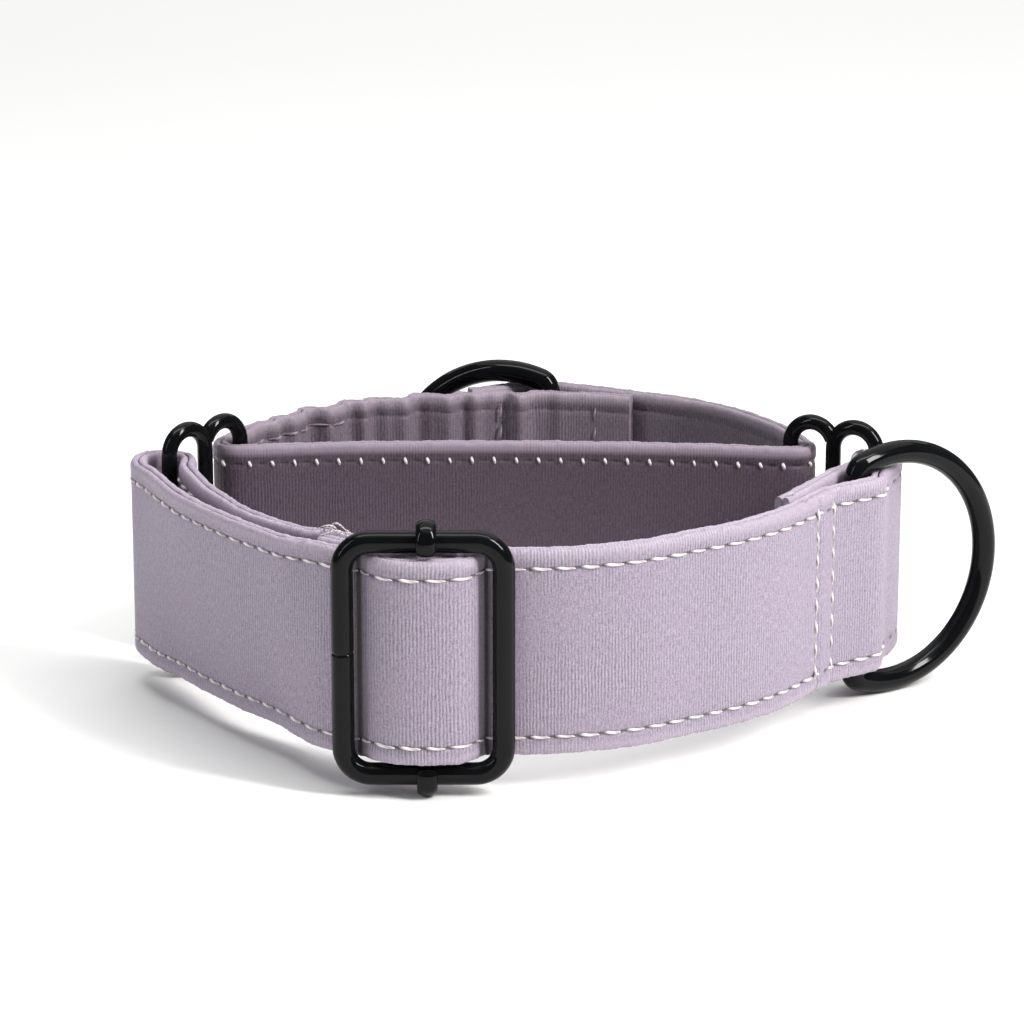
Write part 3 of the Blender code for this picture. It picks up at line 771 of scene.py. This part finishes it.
# Long stitch rows along both bands
TAG_S = strap.at(*polar(TAG_BAR, BAR_FOLD, -20))
FRONT_START = strap.at(63.3, 45.2)
WINDOW_RIGHT, WINDOW_LEFT = strap.at(-3.0, 1.5), strap.at(-28.6, 1.9)
LEFT_FOLD_S = strap.at(*polar(LEFT_FOLD_CENTRE, LEFT_FOLD, 90))
END_S = strap.at(-31.5, 12.9)
LOOP_LEFT_S = loop.at(*polar(LEFT_LOOP_LEG, LOOP_LEFT_FOLD, 150))
for low, label in ((True, "lower"), (False, "upper")):
    row = edge_row("right_row_" + label, strap, TAG_S - 4.0, WINDOW_RIGHT + 1.0, 1, low, thread, 41 + low)
    settle(row, "strap", "thread", "right_topstitch_" + label)
    row = edge_row("left_row_" + label, strap, WINDOW_RIGHT + 1.0, LEFT_FOLD_S, 1, low, thread, 43 + low)
    settle(row, "strap", "thread", "left_topstitch_" + label)
    row = edge_row("inner_row_" + label, strap, LEFT_FOLD_S + 2.0, strap.length - 38.0, -1, low, thread,
                   45 + low)
    settle(row, "strap", "thread")
    row = edge_row("right_inner_row_" + label, strap, 3.0, TAG_S - 24.0, -1, low, thread, 53 + low)
    settle(row, "strap", "thread")
    row = edge_row("loop_row_" + label, loop, 4.0, loop.length - 4.0, 1, low, thread, 47 + low, loop_ripple,
                   tick=True)
    settle(row, "control_loop", "thread", "loop_topstitch_" + label)
    row = edge_row("loop_inner_row_" + label, loop, LOOP_LEFT_S + 6.0, LOOP_LEFT_S + 34.0, -1, low,
                   thread_painted_shade, 49 + low, loop_ripple)
    settle(row, "control_loop", "thread")

# Upright seams
for name, node, at in (("front_seam_row", "tag_seam_front", SEAM_A),
                       ("rear_seam_row", "tag_seam_rear", SEAM_B)):
    settle(upright_row(name, strap, at, 1, -0.1, thread, 61), "strap", "thread", node)
settle(upright_row("slider_seam_row", strap, END_S, 1, 0.0, thread, 63), "strap", "thread", "slider_end_seam")
for label, place, seed in (("left", (-2.5, 113.4), 65), ("right", (17.0, 112.2), 67)):
    row = upright_row("leash_seam_row_" + label, loop, loop.at(*place), -1, 0.0, thread_painted_shade, seed)
    settle(row, "control_loop", "thread", "leash_seam_" + label)

# Loose thread ends and the nap's stray fibres

def strands(name, paths, radius, material):
    """Thin tapered strands, each along its own few points in plan, made as one mesh."""
    made = []
    for path in paths:
        fine = Route.fitted(path)
        taper = radius * (1 - 0.8 * np.linspace(0, 1, len(fine)) ** 2)
        places, uv = tube(fine, taper, 5, False, across=np.array((0.31, 0.55, 0.77)))
        made.append(wrapped_grid(name, to_frame(places), uv, False, material))
    bpy.ops.object.select_all(action="DESELECT")
    for obj in made:
        obj.select_set(True)
    bpy.context.view_layer.objects.active = made[0]
    bpy.ops.object.join()
    return made[0]


def fuzz(route, start, end, count, seed, side):
    """Short fibres that stand off a band's top edge."""
    rng = np.random.default_rng(seed)
    paths = []
    for s in rng.uniform(start, end, count):
        length, turn = rng.uniform(0.5, 1.5), rng.uniform(-1, 1)
        offset = side * rng.uniform(0.3, 1.4)
        root = route.place(np.array(s), np.array(offset), np.array(STRAP_HIGH - 0.15)) / MM
        root = root + (*PLAN_CENTRE, 0.0)
        lean = np.array((rng.uniform(-1, 1), rng.uniform(-1, 0.6), rng.uniform(0.25, 1.0)))
        lean /= np.linalg.norm(lean)
        bow = np.array((0.25 * turn, 0.0, -0.2)) * length
        paths.append([root, root + lean * length * 0.5, root + lean * length + bow])
    return paths


top = STRAP_HIGH
loose = [
    [(-31.0, 11.9, top - 1.0), (-31.6, 11.0, top + 1.2), (-33.2, 10.4, top + 1.6), (-34.8, 11.0, top + 0.7)],
    [(-32.4, 12.4, top - 0.8), (-31.4, 11.4, top + 1.8), (-29.8, 10.6, top + 1.0), (-28.6, 9.8, top + 0.3)],
    [(-33.4, 13.0, top - 0.8), (-32.9, 11.6, top + 0.9), (-31.0, 9.6, top + 0.7), (-29.4, 8.3, top + 0.4)],
    [(-30.2, 11.0, top - 0.8), (-30.8, 10.2, top + 0.7), (-32.6, 9.8, top + 0.5), (-34.0, 9.0, top + 0.3)],
    [(-29.0, 9.8, top - 0.9), (-29.4, 9.0, top + 1.1), (-28.3, 8.2, top + 0.6)]]
settle(strands("loose_thread_ends", loose, 0.2, thread), "strap", "thread")
tails = [[(50.6, 35.6, top - 2.0), (50.0, 34.6, top - 3.4), (49.6, 33.8, top - 5.0)],
         [(52.0, 37.0, top - 0.4), (51.2, 35.6, top + 0.5), (50.2, 34.7, top - 0.2)],
         [(67.8, 49.6, STRAP_LOW + 3.4), (69.4, 50.0, STRAP_LOW + 3.2), (70.0, 50.6, STRAP_LOW + 2.2)]]
settle(strands("seam_tails", tails, 0.17, thread), "strap", "thread")
hairs = (fuzz(strap, FRONT_START, WINDOW_RIGHT, 90, 71, 1) + fuzz(strap, WINDOW_LEFT, LEFT_FOLD_S, 80, 72, 1)
         + fuzz(strap, WINDOW_RIGHT, WINDOW_LEFT, 26, 73, 1) + fuzz(strap, LEFT_FOLD_S, END_S, 50, 74, -1))
settle(strands("nap_fibres", hairs, 0.035, satin), "strap", "satin_fabric")

# Wire
settle(slider_wire(enamel), "slider", "black_metal", "slider_frame")
settle(hooked_bar(enamel), "strap", "black_metal", "slider_centre_bar")
for body, node, pivot, heading in (("tag_ring", "tag_d_ring", TAG_BAR, TAG_HEADING),
                                   ("leash_ring", "leash_d_ring", LEASH_BAR, LEASH_HEADING)):
    path = without_doubles(upright(pivot, heading, ring_path()))
    settle(wire_piece(body + "_wire", path, RING_WIRE / 2, True, enamel), body, "black_metal", node)
for body, node, pivot, heading in (("left_link", "left_link_ring", LEFT_LEG, LEFT_HEADING),
                                   ("right_link", "right_link_ring", RIGHT_LEG, RIGHT_HEADING)):
    settle(link_piece(body + "_wire", pivot, heading, enamel), body, "black_metal", node)


# Camera, lights and floor

def floor():
    bpy.ops.object.select_all(action="DESELECT")
    bpy.ops.mesh.primitive_plane_add(size=8.0, location=(0, 1.6, 0))
    obj = bpy.context.object
    obj.name = "floor"
    bpy.ops.object.mode_set(mode="EDIT")
    bpy.ops.mesh.select_all(action="SELECT")
    bpy.ops.mesh.subdivide(number_cuts=3)
    bpy.ops.object.mode_set(mode="OBJECT")
    bpy.ops.object.transform_apply(location=True)
    material = bpy.data.materials.new("paper_floor")
    tree = node_tree(material)
    shader, out = add(tree, "ShaderNodeBsdfPrincipled"), add(tree, "ShaderNodeOutputMaterial")
    place = add(tree, "ShaderNodeTexCoord").outputs["Object"]
    tree.links.new(mix_colour(tree, noise(tree, place, 3.0), (0.89, 0.89, 0.875, 1), (0.92, 0.92, 0.905, 1)),
                   shader.inputs["Base Color"])
    shader.inputs["Roughness"].default_value = 0.9
    tree.links.new(shader.outputs[0], out.inputs[0])
    obj.data.materials.append(material)


def area_light(name, place, target, width, height, power, colour=(1, 1, 1)):
    data = bpy.data.lights.new(name, "AREA")
    data.shape = "RECTANGLE"
    data.size, data.size_y, data.energy, data.color = width, height, power, colour
    obj = bpy.data.objects.new(name, data)
    obj.location = place
    obj.rotation_euler = (Vector(target) - Vector(place)).to_track_quat("-Z", "Y").to_euler()
    bpy.context.scene.collection.objects.link(obj)


CAMERA_PLACE, CAMERA_DIP, CAMERA_LENS = (-0.01016, -0.72663, 0.24173), 15.945, 139.4


def look():
    camera = bpy.data.cameras.new("camera")
    camera.lens = CAMERA_LENS
    camera.sensor_width = 36.0
    camera.clip_start = 0.01
    obj = bpy.data.objects.new("camera", camera)
    obj.location = CAMERA_PLACE
    obj.rotation_euler = (math.radians(90 - CAMERA_DIP), 0.0, 0.0)
    bpy.context.scene.collection.objects.link(obj)
    bpy.context.scene.camera = obj


def studio():
    """A soft light from the upper right, strips for the wire's edges, a washed back and a dim room."""
    target = (0.0, -0.02, 0.02)
    area_light("top_strip", (0.0, -0.06, 0.62), target, 0.6, 0.10, 1.7)
    area_light("left_strip", (-0.66, -0.40, 0.45), target, 0.03, 0.6, 1.4, (0.93, 0.96, 1.0))
    area_light("right_box", (0.60, -0.36, 0.62), target, 0.16, 0.5, 10.8, (1.0, 0.98, 0.97))
    area_light("back_wash", (0.0, 1.4, 0.9), (0.0, 1.4, 0.0), 2.0, 1.0, 6.5)
    sun = bpy.data.lights.new("ceiling", "SUN")
    sun.energy, sun.angle = 1.24, math.radians(75)
    above = bpy.data.objects.new("ceiling", sun)
    above.rotation_euler = (math.radians(-8), math.radians(6), 0.0)
    bpy.context.scene.collection.objects.link(above)
    world = bpy.data.worlds.new("room")
    world.use_nodes = True
    world.node_tree.nodes["Background"].inputs[0].default_value = (0.97, 0.985, 1.0, 1)
    world.node_tree.nodes["Background"].inputs[1].default_value = 0.16
    bpy.context.scene.world = world
    bpy.context.scene.view_settings.view_transform = "Standard"


floor()
look()
studio()
